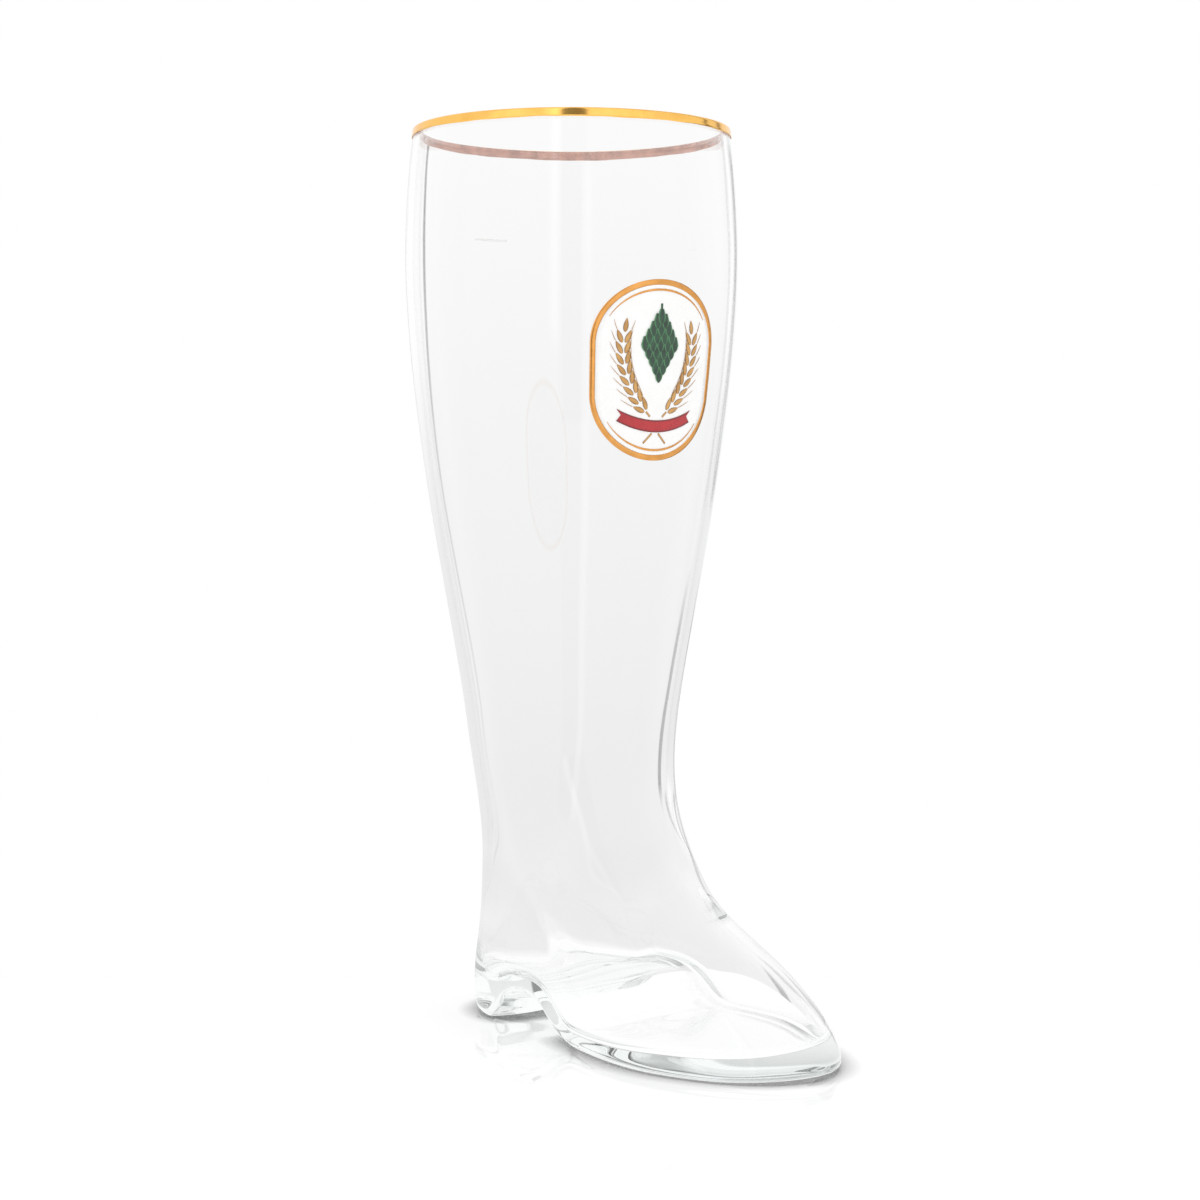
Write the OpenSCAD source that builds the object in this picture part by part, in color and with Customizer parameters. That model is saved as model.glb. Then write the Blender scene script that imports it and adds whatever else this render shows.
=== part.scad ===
// Boot-shaped beer glass, blown in one piece, with a gilded lip and a badge of fired enamel on the shin.
// X points to the toe and Z up. The floor is at zero, under the middle of the glass's own box.

/* [Overall size] */
// Height of the glass from the floor to the lip
glass_height = 325; // [310:1:340]
// Height at which the leg grows out of the foot
ankle_height = 116.5; // [110:0.5:122]
// Reach of the toe ahead of the leg's axis
toe_reach = 144.5; // [135:0.5:153]
// Reach of the heel behind the leg's axis
heel_reach = 39.2; // [36:0.2:42]

/* [Leg] */
// Outer radius at the lip
lip_radius = 58; // [55:0.1:60]
// Outer radius of the calf, the widest place
calf_radius = 61.3; // [59:0.1:65]
// Outer radius at the ankle height
ankle_radius = 40; // [37:0.1:42]

/* [Foot] */
// Width of the sole across the ball of the foot
sole_width = 78.4; // [72:0.2:84]
// Length of the heel along the foot
heel_length = 39.2; // [34:0.2:43]
// Run of the sloping front of the heel
heel_breast_run = 9; // [7:0.5:13]
// Height of the hollow under the arch
arch_height = 13; // [10:0.5:14.5]
// Length of the arch at its full height, ahead of the heel
arch_length = 29; // [22:0.5:32]
// Length over which the arch comes down to the ball of the foot
arch_fall_length = 17.5; // [14:0.5:29]
// Rounding of the edge round the heel and the sole
sole_edge_radius = 2.5; // [2:0.25:4]
// Rise of the sole's tip above the floor
toe_spring = 1.5; // [0.5:0.25:2.5]
// Length of the tip that rises
toe_spring_length = 22; // [17:1:27]

/* [Glass] */
// Wall of the leg
wall = 2.6; // [2:0.1:3.2]
// Wall at the front of the foot, where the glass stays thicker
toe_wall = 5; // [4:0.25:6]
// Glass under the foot
sole_thickness = 5; // [4:0.25:8]
// Further glass that fills the heel under the cavity
heel_glass = 8; // [5:0.5:10]
// Rounding between the inner floor and the walls
inner_floor_radius = 4; // [3:0.5:7]

/* [Gilding] */
// Height of the gold below the rounding of the lip
gilding_height = 1.8; // [1:0.2:6]
// Thickness of the gold
gilding_film = 0.12; // [0.08:0.01:0.2]

/* [Badge] */
// Width of the badge along the glass
badge_width = 51.6; // [46:0.2:58]
// Height of the badge
badge_height = 63; // [56:0.2:70]
// Length of the straight stretch at each side of the badge's oval
badge_straight = 17; // [12:0.5:22]
// Depth of the badge's centre below the lip
badge_drop = 90; // [80:1:100]
// Turn of the badge round the leg, away from the front
badge_turn = -1.2; // [-10:0.1:10]
// Width of the gold border
border_width = 2; // [1.4:0.1:2.6]
// White between the border and the thin line
line_gap = 1.3; // [1:0.1:2]
// Width of the thin line at its middle
line_width = 0.75; // [0.5:0.05:1]
// Thickness of one layer of enamel
enamel_film = 0.15; // [0.1:0.01:0.2]

/* [Emblem] */
// Length of the hop cone
hop_length = 24; // [20:0.5:26]
// Width of the hop cone
hop_width = 15; // [12.5:0.5:16.5]
// Length of a barley grain
grain_length = 4.8; // [4:0.2:5.4]
// Width of a barley grain
grain_width = 1.9; // [1.5:0.1:2.3]
// Distance along the ear from one pair of grains to the next
grain_pitch = 3.7; // [3.4:0.1:4.2]
// Width of a barley stalk
stalk_width = 0.7; // [0.5:0.1:1]
// Length of the ribbon across the badge
ribbon_length = 31.6; // [26:0.4:34]
// Width of the ribbon
ribbon_width = 4.2; // [3.4:0.2:4.8]

/* [Fill line] */
// Length of the fill line round the back of the leg
fill_line_length = 15; // [10:1:24]
// Width of the fill line
fill_line_width = 0.8; // [0.6:0.1:1.2]
// Depth of the fill line below the lip
fill_line_drop = 35; // [25:1:41]

/* [Hidden] */

// Points along one side of a ring, from the heel to the toe
side_steps = 24;
ring_points = 2 * side_steps;
// Gap that keeps a fired layer clear of what it lies on
layer_gap = 0.05;

foot_length = toe_reach - heel_reach;
heel_front = heel_length - heel_reach;
arch_fall_start = heel_front + arch_length;
toe_spring_start = toe_reach - toe_spring_length;
box_centre = (toe_reach - calf_radius) / 2;
lip_round = wall / 2;
lip_level = glass_height - lip_round;
badge_level = glass_height - badge_drop;
fill_line_level = glass_height - fill_line_drop;

// Rows from the sole to the ankle: height, blend from ankle to sole, pinch of the back, pinch of the
// sides, reach of the instep, blend from oval to foot print, blend of the arch
foot_shares = [
    [0.000, 1.00, 0.000, 0.000, 1.000, 1.00, 1.00],
    [0.049, 1.00, -0.010, -0.008, 0.981, 1.00, 1.00],
    [0.098, 1.00, -0.022, -0.008, 0.925, 1.00, 1.00],
    [0.172, 0.95, -0.018, 0.007, 0.818, 0.87, 0.96],
    [0.254, 0.88, 0.011, 0.040, 0.653, 0.66, 0.86],
    [0.344, 0.78, 0.048, 0.074, 0.409, 0.40, 0.70],
    [0.434, 0.65, 0.076, 0.101, 0.254, 0.20, 0.50],
    [0.525, 0.55, 0.092, 0.125, 0.170, 0.10, 0.30],
    [0.623, 0.40, 0.096, 0.124, 0.102, 0.03, 0.15],
    [0.730, 0.25, 0.079, 0.098, 0.045, 0.00, 0.05],
    [0.852, 0.10, 0.050, 0.055, 0.008, 0.00, 0.00]
];
// Rows from the ankle to the lip: height, blend from ankle to calf, blend from calf to lip
leg_shares = [
    [0.000, 0.000, 0.00],
    [0.110, 0.179, 0.00],
    [0.229, 0.386, 0.00],
    [0.349, 0.587, 0.00],
    [0.468, 0.753, 0.00],
    [0.578, 0.883, 0.00],
    [0.679, 0.964, 0.00],
    [0.771, 1.000, 0.00],
    [0.862, 1.000, 0.17],
    [0.940, 1.000, 0.54],
    [1.000, 1.000, 1.00]
];
// Half width of the foot print, at equal turns of the sweep from the heel to the toe
print_shares = [
    0, 0.26, 0.50, 0.70, 0.81, 0.86, 0.87, 0.87, 0.91, 0.98, 1, 0.956, 0.817, 0.655, 0.45, 0.235, 0
];

function mix(a, b, share) = a + (b - a) * share;
function clamp(share) = min(max(share, 0), 1);
function ease(share) = let (s = clamp(share)) s * s * (3 - 2 * s);

// A station holds its height, back reach, half width, front reach, print share and arch share
function foot_station(row) = let (
    back = mix(ankle_radius, heel_reach, row[1]) * (1 - row[2]),
    side = mix(ankle_radius, sole_width / 2, row[1]) * (1 - row[3])
) [ankle_height * row[0], back, side, back + foot_length * row[4], row[5], row[6]];
function leg_station(row) = let (
    radius = mix(ankle_radius, calf_radius, row[1]) - (calf_radius - lip_radius) * row[2]
) [mix(ankle_height, glass_height, row[0]), radius, radius, radius, 0, 0];
stations = concat([for (row = foot_shares) foot_station(row)], [for (row = leg_shares) leg_station(row)]);

// Smooth curve through the stations, as a function of height
function slope_at(i) = let (a = stations[max(i - 1, 0)], b = stations[min(i + 1, len(stations) - 1)])
    (b - a) / (b[0] - a[0]);
function station_below(level) = max([0, for (i = [1 : len(stations) - 2]) if (stations[i][0] <= level) i]);
function section_at(level) = let (
    i = station_below(level),
    a = stations[i],
    b = stations[i + 1],
    rise = b[0] - a[0],
    t = (level - a[0]) / rise,
    a_weight = 2 * t * t * t - 3 * t * t + 1,
    a_slope = (t * t * t - 2 * t * t + t) * rise,
    b_slope = (t * t * t - t * t) * rise
) a * a_weight + b * (1 - a_weight) + slope_at(i) * a_slope + slope_at(i + 1) * b_slope;

// Half width of the foot print as a smooth curve through its shares
print_last = len(print_shares) - 1;
function print_share(i) = i < 0 ? -print_shares[-i] : i > print_last ? -print_shares[2 * print_last - i]
    : print_shares[i];
function print_at(share) = let (
    i = min(floor(share * print_last), print_last - 1),
    t = share * print_last - i,
    a = print_share(i - 1),
    b = print_share(i),
    c = print_share(i + 1),
    d = print_share(i + 2)
) b + t * ((c - a) + t * ((2 * a - 5 * b + 4 * c - d) + t * (3 * b - a - 3 * c + d))) / 2;

// Rise of a skin along the foot, from its rise in the heel, wider on the inside by the given growth
function arch_at(x, growth, heel_rise) =
    mix(heel_rise, arch_height, ease((x - heel_front + growth) / heel_breast_run))
        * (1 - ease((x - arch_fall_start - growth) / arch_fall_length))
    + toe_spring * pow(max(x - toe_spring_start, 0) / toe_spring_length, 2);

// One ring of the glass, drawn in by the inset, at its own height z and with the section of its level
function ring(level, z, inset, front_inset, growth, heel_rise) = let (
    section = section_at(level),
    back = inset - section[1],
    front = section[3] - front_inset,
    side = section[2] - inset,
    near = [for (k = [0 : side_steps]) let (
        turn = 180 * k / side_steps,
        x = mix(back, front, (1 - cos(turn)) / 2),
        y = side * mix(sin(turn), print_at(k / side_steps), section[4])
    ) [x - box_centre, y, z + arch_at(x, growth, heel_rise) * section[5]]]
) concat([for (p = near) [p.x, -p.y, p.z]], [for (k = [side_steps - 1 : -1 : 1]) near[k]]);

// Skins of the glass
function outer_ring(level, z, inset) = ring(level, z, inset, inset, 0, 0);
function front_wall(level) = mix(wall, toe_wall, clamp(1 - level / ankle_height));
function inner_ring(level, z, inset) =
    ring(level, z, wall + inset, front_wall(level) + inset, wall, heel_glass);

// Heights of the rings between two stations, above the given floor
function levels(start, steps_low, steps_high) = [for (i = [0 : len(stations) - 2]) let (
    low = max(stations[i][0], start),
    high = min(stations[i + 1][0], lip_level),
    steps = high > ankle_height ? steps_high : steps_low
) if (high > low) for (k = [0 : steps - 1]) mix(low, high, k / steps)];

module skin(rings, capped) {
    rows = len(rings);
    points = [for (r = rings) each r];
    function at(i, j) = (i % rows) * ring_points + (j + ring_points) % ring_points;
    band_rows = capped ? rows - 1 : rows;
    bands = [for (i = [0 : band_rows - 1]) for (j = [0 : ring_points - 1])
        each [[at(i, j), at(i + 1, j), at(i + 1, j + 1)], [at(i, j), at(i + 1, j + 1), at(i, j + 1)]]];
    caps = [for (k = [0 : side_steps - 1]) each concat(
        [for (t = [[at(0, k), at(0, k + 1), at(0, -k - 1)], [at(0, k), at(0, -k - 1), at(0, -k)]])
            if (t[1] != t[2] && t[0] != t[2]) t],
        [for (t = [[at(rows - 1, k), at(rows - 1, -k - 1), at(rows - 1, k + 1)],
            [at(rows - 1, k), at(rows - 1, -k), at(rows - 1, -k - 1)]])
            if (t[1] != t[2] && t[0] != t[1]) t])];
    polyhedron(points, capped ? concat(bands, caps) : bands, convexity = 10);
}

lip_turns = [45, 90, 135];
gilded_turns = [30, 60, 90];
edge_turns = [0 : 30 : 60];

module boot_glass() {
    edge = [for (t = edge_turns)
        outer_ring(0, sole_edge_radius * (1 - cos(t)), sole_edge_radius * (1 - sin(t)))];
    outside = [for (z = levels(sole_edge_radius, 3, 2)) outer_ring(z, z, 0)];
    lip = [for (t = lip_turns)
        outer_ring(lip_level, lip_level + lip_round * sin(t), lip_round * (1 - cos(t)))];
    floor_top = sole_thickness + inner_floor_radius;
    heights = levels(floor_top, 2, 1);
    inside = [for (i = [len(heights) - 1 : -1 : 0]) inner_ring(heights[i], heights[i], 0)];
    inner_edge = [for (t = [60 : -30 : 0]) inner_ring(floor_top,
        floor_top - inner_floor_radius * cos(t), inner_floor_radius * (1 - sin(t)))];
    color([0.86, 0.9, 0.88, 0.45])
        skin(concat(edge, outside, [outer_ring(lip_level, lip_level, 0)], lip,
            [inner_ring(lip_level, lip_level, 0)], inside, inner_edge), true);
}

// Gold on the outside of the lip, from a line below it up to its top
function lip_layer(lift) = concat(
    [outer_ring(lip_level - gilding_height, lip_level - gilding_height, -lift),
        outer_ring(lip_level, lip_level, -lift)],
    [for (t = gilded_turns) outer_ring(lip_level,
        lip_level + (lip_round + lift) * sin(t), lip_round - (lip_round + lift) * cos(t))]);

module rim_gilding() {
    outside = lip_layer(layer_gap + gilding_film);
    inside = lip_layer(layer_gap);
    color([0.93, 0.72, 0.3])
        skin(concat(outside, [for (i = [len(inside) - 1 : -1 : 0]) inside[i]]), false);
}

// A point of the badge, given along the glass and up from the badge's centre, on the leg's outside
function on_leg(point, turn, level, lift) = let (
    z = level + point.y,
    radius = section_at(z)[1] + lift,
    angle = turn + point.x / section_at(level)[1] * 180 / PI
) [radius * cos(angle) - box_centre, radius * sin(angle), z];

// Fired layer over a grid of points; a closed grid joins its last row to its first
module layer(grid, depth_count, turn = badge_turn, level = badge_level, closed = false) {
    rows = len(grid);
    columns = len(grid[0]);
    low = layer_gap + depth_count * (enamel_film + layer_gap);
    high = low + enamel_film;
    sheet = rows * columns;
    points = concat([for (row = grid) for (p = row) on_leg(p, turn, level, high)],
        [for (row = grid) for (p = row) on_leg(p, turn, level, low)]);
    function top(i, j) = (i % rows) * columns + j;
    function base(i, j) = sheet + top(i, j);
    cells = [for (i = [0 : closed ? rows - 1 : rows - 2]) for (j = [0 : columns - 2]) each [
        [top(i, j), top(i + 1, j), top(i + 1, j + 1)],
        [top(i, j), top(i + 1, j + 1), top(i, j + 1)],
        [base(i, j), base(i + 1, j + 1), base(i + 1, j)],
        [base(i, j), base(i, j + 1), base(i + 1, j + 1)]]];
    sides = [for (i = [0 : closed ? rows - 1 : rows - 2]) each [
        [top(i, 0), base(i, 0), base(i + 1, 0)],
        [top(i, 0), base(i + 1, 0), top(i + 1, 0)],
        [top(i, columns - 1), base(i + 1, columns - 1), base(i, columns - 1)],
        [top(i, columns - 1), top(i + 1, columns - 1), base(i + 1, columns - 1)]]];
    ends = closed ? [] : [for (j = [0 : columns - 2]) each [
        [top(0, j), base(0, j + 1), base(0, j)],
        [top(0, j), top(0, j + 1), base(0, j + 1)],
        [top(rows - 1, j), base(rows - 1, j), base(rows - 1, j + 1)],
        [top(rows - 1, j), base(rows - 1, j + 1), top(rows - 1, j + 1)]]];
    polyhedron(points, concat(cells, sides, ends), convexity = 6);
}

// The badge's outline is an oval with a straight stretch at each side
oval_steps = 48;
badge_end = (badge_height - badge_straight) / 2;
function oval(inset, turn) = [
    (badge_width / 2 - inset) * cos(turn),
    sign(sin(turn)) * badge_straight / 2 + (badge_end - inset) * sin(turn)];

module badge_ground() {
    rows = 14;
    columns = 12;
    inset = border_width + layer_gap;
    grid = [for (i = [1 : rows - 1]) let (edge = oval(inset, 180 * (i / rows - 0.5)))
        [for (j = [0 : columns]) [mix(edge.x, -edge.x, j / columns), edge.y]]];
    color([0.97, 0.96, 0.94]) layer(grid, 0);
}

module badge_border() {
    grid = [for (i = [0 : oval_steps - 1]) let (turn = 360 * i / oval_steps)
        [oval(0, turn), oval(border_width, turn)]];
    color([0.93, 0.67, 0.39]) layer(grid, 0, closed = true);
}

// The thin line runs in two arcs, over the top and under the foot of the emblem, with fine ends
line_starts = [30, 210];
line_sweep = 120;
line_steps = 20;
line_end_share = 0.2;
module badge_line() {
    middle = border_width + line_gap + line_width / 2;
    color([0.93, 0.67, 0.39]) for (start = line_starts) {
        grid = [for (i = [0 : line_steps]) let (
            turn = start + line_sweep * i / line_steps,
            half = line_width / 2 * mix(line_end_share, 1, sin(180 * i / line_steps))
        ) [oval(middle - half, turn), oval(middle + half, turn)]];
        layer(grid, 1);
    }
}

// A leaf from its foot to its tip, as a fired layer over the badge's white
function turned(point, turn) =
    [point.x * cos(turn) - point.y * sin(turn), point.x * sin(turn) + point.y * cos(turn)];
grain_shares = [[0, 0.3], [0.15, 0.78], [0.4, 1], [0.65, 0.8], [0.86, 0.42], [1, 0.08]];
bract_shares = [[0, 0.1], [0.2, 0.4], [0.5, 0.88], [0.7, 0.6], [1, 0.05]];
module leaf(foot, turn, length, width, shares) {
    grid = [for (s = shares) let (half = width * s[1] / 2)
        [foot + turned([half, length * s[0]], turn), foot + turned([-half, length * s[0]], turn)]];
    layer(grid, 1);
}

// The cone's bracts hang in rows, each row set between the bracts of the row above
hop_level_share = 0.12;
hop_rows = [2, 3, 4, 5, 4, 3, 2, 1];
module hop_cone() {
    top = badge_height * hop_level_share + hop_length / 2;
    pitch = hop_width / max(hop_rows);
    drop = hop_length / (len(hop_rows) + 1);
    color([0.16, 0.2, 0.14]) for (i = [0 : len(hop_rows) - 1]) for (k = [0 : hop_rows[i] - 1])
        leaf([(k - (hop_rows[i] - 1) / 2) * pitch, top - i * drop], 180, 2 * drop, pitch, bract_shares);
}

// Each ear bows up its side of the badge, with grains in pairs and one at the tip
ear_rows = 8;
ear_foot_share = [0.09, -0.225];
ear_heading = 45;
ear_bend = 60;
grain_lean = 24;
module barley_ears() {
    color([0.8, 0.58, 0.24]) for (side = [-1, 1]) ear(side);
}

module ear(side) {
    start = [badge_width * ear_foot_share.x, badge_height * ear_foot_share.y];
    ear_length = grain_pitch * (ear_rows + 1);
    bow_radius = ear_length / ear_bend * 180 / PI;
    function heading(distance) = ear_heading - ear_bend * distance / ear_length;
    function spine(distance) = let (turn = heading(distance))
        start + bow_radius * [cos(turn) - cos(ear_heading), sin(ear_heading) - sin(turn)];
    function mirrored(point) = [point.x * side, point.y];
    for (i = [0 : ear_rows - 1]) for (lean = [-1, 1]) {
        turn = heading(grain_pitch * i);
        foot = spine(grain_pitch * i) + turned([lean * grain_width * 0.32, 0], -turn);
        leaf(mirrored(foot), -side * (turn + lean * grain_lean), grain_length, grain_width, grain_shares);
    }
    leaf(mirrored(spine(grain_pitch * ear_rows)), -side * heading(grain_pitch * ear_rows),
        grain_length, grain_width, grain_shares);
    tail = start + turned([0, -grain_length * 0.6], -ear_heading);
    stalk(mirrored(tail), -side * ear_heading, grain_length * 0.5);
    stalk([-side * stalk_width * 2, ribbon_level() - ribbon_width * 0.6], side * (180 - ear_heading),
        grain_length);
}

module stalk(foot, turn, length) {
    half = stalk_width / 2;
    layer([for (s = [0, 1]) [for (x = [half, -half]) foot + turned([x, length * s], turn)]], 1);
}

// The ribbon hangs in a shallow bow, with a notch cut in each end
ribbon_level_share = -0.31;
function ribbon_level() = badge_height * ribbon_level_share;
module ribbon() {
    steps = 14;
    sag = ribbon_width * 0.9;
    grid = [for (i = [0 : steps]) let (
        t = 2 * i / steps - 1,
        x = t * ribbon_length / 2,
        y = ribbon_level() + sag * t * t,
        notch = abs(t) == 1 ? sign(t) * ribbon_width * 0.4 : 0
    ) [[x, y - ribbon_width / 2], [x - notch, y], [x, y + ribbon_width / 2]]];
    color([0.72, 0.1, 0.12]) layer(grid, 1);
}

module fill_line() {
    steps = 6;
    grid = [for (i = [0 : steps]) let (x = fill_line_length * (i / steps - 0.5))
        [[x, -fill_line_width / 2], [x, fill_line_width / 2]]];
    color([0.92, 0.92, 0.9]) layer(grid, 0, 180, fill_line_level);
}

boot_glass();
rim_gilding();
badge_ground();
badge_border();
badge_line();
hop_cone();
barley_ears();
ribbon();
fill_line();
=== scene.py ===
from math import atan2, cos, pi, radians, sin

import bmesh
import bpy
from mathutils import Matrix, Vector


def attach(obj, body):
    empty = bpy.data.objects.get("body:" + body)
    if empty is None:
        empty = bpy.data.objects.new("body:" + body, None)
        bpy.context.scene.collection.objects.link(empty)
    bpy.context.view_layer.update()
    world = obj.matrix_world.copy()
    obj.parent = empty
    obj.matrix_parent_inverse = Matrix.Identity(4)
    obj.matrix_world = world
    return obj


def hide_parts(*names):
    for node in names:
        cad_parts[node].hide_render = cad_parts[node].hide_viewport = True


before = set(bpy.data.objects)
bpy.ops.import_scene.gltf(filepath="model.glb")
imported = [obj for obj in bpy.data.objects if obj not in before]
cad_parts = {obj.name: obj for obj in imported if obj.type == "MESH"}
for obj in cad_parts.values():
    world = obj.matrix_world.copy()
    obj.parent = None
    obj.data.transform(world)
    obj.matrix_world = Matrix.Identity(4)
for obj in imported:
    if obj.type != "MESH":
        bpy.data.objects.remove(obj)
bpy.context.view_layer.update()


# The blown boot: one gather of clear soda glass, blown into a two-part boot mould, cut at the
# leg and melted round at the lip. The glass stays thicker in the sole and the toe, and its
# inside is not touched by the mould, so it is a little uneven.
glass_height = 0.325
ankle_height = 0.1165
toe_reach = 0.1445
heel_reach = 0.0392
lip_radius = 0.058
calf_radius = 0.0613
ankle_radius = 0.040
sole_half_width = 0.0392
heel_length = 0.0392
heel_breast_run = 0.009
arch_height = 0.013
arch_length = 0.029
arch_fall_length = 0.0175
sole_edge_radius = 0.0025
sole_closing = 0.012
toe_spring = 0.0015
toe_spring_length = 0.022
leg_wall = 0.0026
toe_wall = 0.005
sole_thickness = 0.005
heel_glass = 0.008
inner_floor_radius = 0.004
inner_floor_closing = 0.010
inner_wave = 0.001
wave_fade = 0.03
lip_squareness = 0.62
side_steps = 24
level_steps = 2
glass_tint = (0.80, 0.90, 0.88)
glass_density = 4.0
glass_ior = 1.52
most_reflections = 3.5

foot_length = toe_reach - heel_reach
heel_front = heel_length - heel_reach
arch_fall_start = heel_front + arch_length
toe_spring_start = toe_reach - toe_spring_length
box_centre = (toe_reach - calf_radius) / 2
lip_round = leg_wall / 2
lip_level = glass_height - lip_round

# Height, blend from ankle to sole, pinch of the back and of the sides, reach of the instep,
# blend from oval to foot print, blend of the arch
foot_rows = (
    (0.000, 1.00, 0.000, 0.000, 1.000, 1.00, 1.00),
    (0.049, 1.00, -0.010, -0.008, 0.981, 1.00, 1.00),
    (0.098, 1.00, -0.022, -0.008, 0.925, 1.00, 1.00),
    (0.172, 0.95, -0.018, 0.007, 0.818, 0.87, 0.96),
    (0.254, 0.88, 0.011, 0.040, 0.653, 0.66, 0.86),
    (0.344, 0.78, 0.048, 0.074, 0.409, 0.40, 0.70),
    (0.434, 0.65, 0.076, 0.101, 0.254, 0.20, 0.50),
    (0.525, 0.55, 0.092, 0.125, 0.170, 0.10, 0.30),
    (0.623, 0.40, 0.096, 0.124, 0.102, 0.03, 0.15),
    (0.730, 0.25, 0.079, 0.098, 0.045, 0.00, 0.05),
    (0.852, 0.10, 0.050, 0.055, 0.008, 0.00, 0.00),
)
# Height, blend from ankle to calf, blend from calf to lip
leg_rows = (
    (0.000, 0.000, 0.00),
    (0.110, 0.179, 0.00),
    (0.229, 0.386, 0.00),
    (0.349, 0.587, 0.00),
    (0.468, 0.753, 0.00),
    (0.578, 0.883, 0.00),
    (0.679, 0.964, 0.00),
    (0.771, 1.000, 0.00),
    (0.862, 1.000, 0.17),
    (0.940, 1.000, 0.54),
    (1.000, 1.000, 1.00),
)
# Half width of the foot print from the heel to the toe
print_rows = (0, 0.26, 0.50, 0.70, 0.81, 0.86, 0.87, 0.87, 0.91, 0.98, 1, 0.956, 0.817, 0.655,
              0.45, 0.235, 0)


def mix(a, b, share):
    return a + (b - a) * share


def clamp(share):
    return min(max(share, 0.0), 1.0)


def ease(share):
    share = clamp(share)
    return share * share * (3 - 2 * share)


def foot_station(row):
    back = mix(ankle_radius, heel_reach, row[1]) * (1 - row[2])
    side = mix(ankle_radius, sole_half_width, row[1]) * (1 - row[3])
    return (ankle_height * row[0], back, side, back + foot_length * row[4], row[5], row[6])


def leg_station(row):
    radius = mix(ankle_radius, calf_radius, row[1]) - (calf_radius - lip_radius) * row[2]
    return (mix(ankle_height, glass_height, row[0]), radius, radius, radius, 0, 0)


stations = [foot_station(row) for row in foot_rows] + [leg_station(row) for row in leg_rows]


def slope(i):
    a = stations[max(i - 1, 0)]
    b = stations[min(i + 1, len(stations) - 1)]
    return [(q - p) / (b[0] - a[0]) for p, q in zip(a, b)]


def section(level):
    """Height, back, side, front, print share and arch share of the outside at a level."""
    i = max([0] + [k for k in range(1, len(stations) - 1) if stations[k][0] <= level])
    a, b = stations[i], stations[i + 1]
    rise = b[0] - a[0]
    t = (level - a[0]) / rise
    a_weight = 2 * t ** 3 - 3 * t ** 2 + 1
    a_slope = (t ** 3 - 2 * t ** 2 + t) * rise
    b_slope = (t ** 3 - t ** 2) * rise
    return [p * a_weight + q * (1 - a_weight) + m * a_slope + n * b_slope
            for p, q, m, n in zip(a, b, slope(i), slope(i + 1))]


def foot_print(share):
    """Half width at a share of the way from heel to toe, smooth through the rows."""
    last = len(print_rows) - 1

    def row(i):
        if i < 0:
            return -print_rows[-i]
        return -print_rows[2 * last - i] if i > last else print_rows[i]

    i = min(int(share * last), last - 1)
    t = share * last - i
    a, b, c, d = row(i - 1), row(i), row(i + 1), row(i + 2)
    return b + t * ((c - a) + t * ((2 * a - 5 * b + 4 * c - d) + t * (3 * b - a - 3 * c + d))) / 2


def arch(x, growth, heel_rise):
    """Rise of the sole, or of the floor inside where growth is the wall's thickness."""
    hollow = mix(heel_rise, arch_height, ease((x - heel_front + growth) / heel_breast_run))
    hollow *= 1 - ease((x - arch_fall_start - growth) / arch_fall_length)
    return hollow + toe_spring * (max(x - toe_spring_start, 0) / toe_spring_length) ** 2


def shape_ring(verts, level, z, inset, front_inset, growth, narrow, wave):
    """Puts the vertices of a ring, counted from the heel, on the boot's skin at a level."""
    outline = section(level)
    back = inset - outline[1]
    front = outline[3] - front_inset
    side = (outline[2] - inset) * narrow
    for k, vert in enumerate(verts):
        turn = 2 * pi * k / len(verts)
        share = 2 * k / len(verts) if turn <= pi else 2 - 2 * k / len(verts)
        x = mix(back, front, (1 - cos(turn)) / 2)
        y = side * mix(abs(sin(turn)), foot_print(share), outline[4])
        y = -y if 0 < turn < pi else y
        ripple = 1 + wave * (sin(2 * turn + 31 * z) + 0.6 * sin(3 * turn - 47 * z + 1.3)
                             + 0.5 * sin(57 * z + turn))
        vert.co = ((x - box_centre) * ripple + box_centre * (ripple - 1), y * ripple,
                   z + arch(x, growth, heel_glass if growth else 0) * outline[5])


def lip_corner(turn):
    """Place across and up on the lip's rounding, which is a little squarer than a circle."""
    across, rise = cos(radians(turn)), sin(radians(turn))
    return (abs(across) ** lip_squareness * (1 if across > 0 else -1), rise ** lip_squareness)


def heights(start):
    """Levels from a start up to just under the lip, evenly spaced between the stations."""
    found = []
    for a, b in zip(stations, stations[1:]):
        low, high = max(a[0], start), min(b[0], lip_level)
        found += [mix(low, high, k / level_steps) for k in range(level_steps) if high > low]
    return found


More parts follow.
